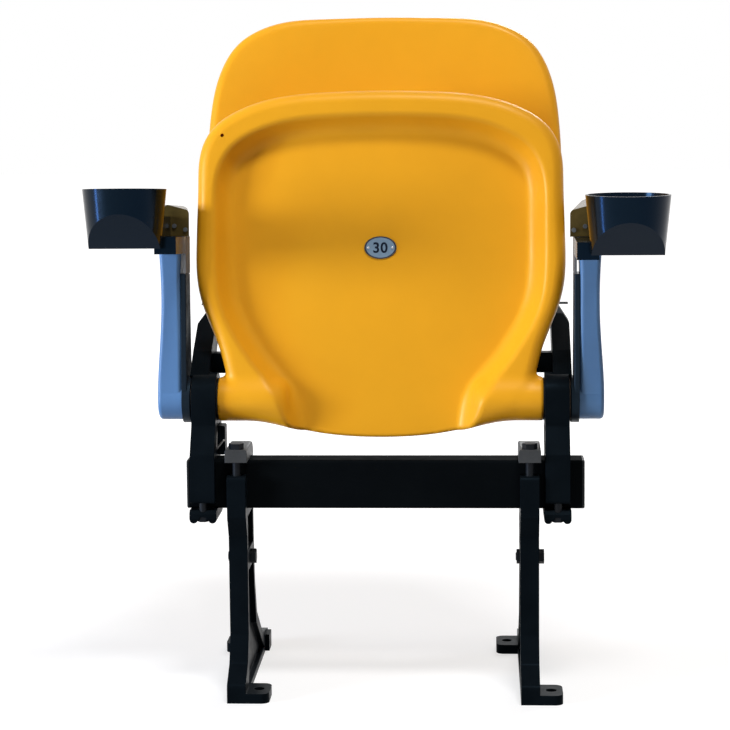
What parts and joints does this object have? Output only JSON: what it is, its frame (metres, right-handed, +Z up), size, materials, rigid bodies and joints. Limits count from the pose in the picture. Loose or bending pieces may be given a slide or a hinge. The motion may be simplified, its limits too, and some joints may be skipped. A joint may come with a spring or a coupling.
{
  "type": "stadium seat",
  "caption": "Tip-up stadium seat on a beam with two cast legs, a moulded backrest, lift-up arms and cup holders.",
  "frame": {"origin": "on the floor, under the middle of the whole seat", "axes": "+X to the right as seen from the front, +Y to the back, +Z up"},
  "size_m": [0.687, 0.3915, 0.832],
  "materials": {
    "seat_plastic": "satin moulded",
    "plate_face": "anodised, printed numerals",
    "small_steel": "zinc plated",
    "nylon": "natural nylon",
    "friction_fibre": "pressed fibre",
    "frame_paint": "gloss powder coat on cast iron",
    "beam_paint": "gloss powder coat on steel tube",
    "black_bolt": "blackened",
    "clamp_iron": "dark grey casting",
    "cap_plastic": "moulded",
    "bumper_rubber": "moulded",
    "pin_steel": "ground",
    "post_plastic": "moulded",
    "cover_plastic": "moulded",
    "arm_plastic": "moulded"
  },
  "bodies": {
    "frame": {"beam": "beam_paint", "beam_cap_left": "cap_plastic", "beam_cap_right": "cap_plastic", "leg_left": "frame_paint", "leg_right": "frame_paint", "leg_clamp_left": "clamp_iron", "leg_clamp_right": "clamp_iron", "leg_clamp_bolts": "black_bolt", "leg_cross_bolts": "black_bolt", "upright_left": "frame_paint", "upright_right": "frame_paint", "upright_keeper_left": "frame_paint", "upright_keeper_right": "frame_paint", "upright_bolts": "black_bolt", "stop_bumper_left": "bumper_rubber", "stop_bumper_right": "bumper_rubber", "hinge_pin_left": "pin_steel", "hinge_pin_right": "pin_steel", "hinge_nuts": "small_steel", "thrust_washer_left": "nylon", "thrust_washer_right": "nylon", "friction_washer_left": "friction_fibre", "friction_washer_right": "friction_fibre", "return_spring": "pin_steel", "spring_anchor": "frame_paint", "back_shell": "seat_plastic", "back_screws": "black_bolt"},
    "seat": {"seat_shell": "seat_plastic", "number_plate": "plate_face", "plate_rivets": "small_steel", "hinge_bush_left": "nylon", "hinge_bush_right": "nylon"},
    "left_arm": {"arm_post_left": "post_plastic", "arm_cover_left": "cover_plastic", "hub_cap_left": "cover_plastic", "arm_core_left": "small_steel", "armrest_left": "arm_plastic", "cup_holder_left": "arm_plastic", "arm_screws_left": "small_steel"},
    "right_arm": {"arm_post_right": "post_plastic", "arm_cover_right": "cover_plastic", "hub_cap_right": "cover_plastic", "arm_core_right": "small_steel", "armrest_right": "arm_plastic", "cup_holder_right": "arm_plastic", "arm_screws_right": "small_steel"}
  },
  "joints": [
    {"name": "seat_tip", "type": "hinge", "parent": "frame", "child": "seat", "pos_m": [0, -0.0115, 0.361], "axis": [1, 0, 0], "range_deg": [0, 94], "stiffness_Nm_per_rad": 1.6, "springref_deg": -40.11, "deforming": ["return_spring"]},
    {"name": "left_arm_lift", "type": "hinge", "parent": "frame", "child": "left_arm", "pos_m": [0, -0.0115, 0.361], "axis": [-1, 0, 0], "range_deg": [-4, 71]},
    {"name": "right_arm_lift", "type": "hinge", "parent": "frame", "child": "right_arm", "pos_m": [0, -0.0115, 0.361], "axis": [-1, 0, 0], "range_deg": [0, 75]}
  ]
}
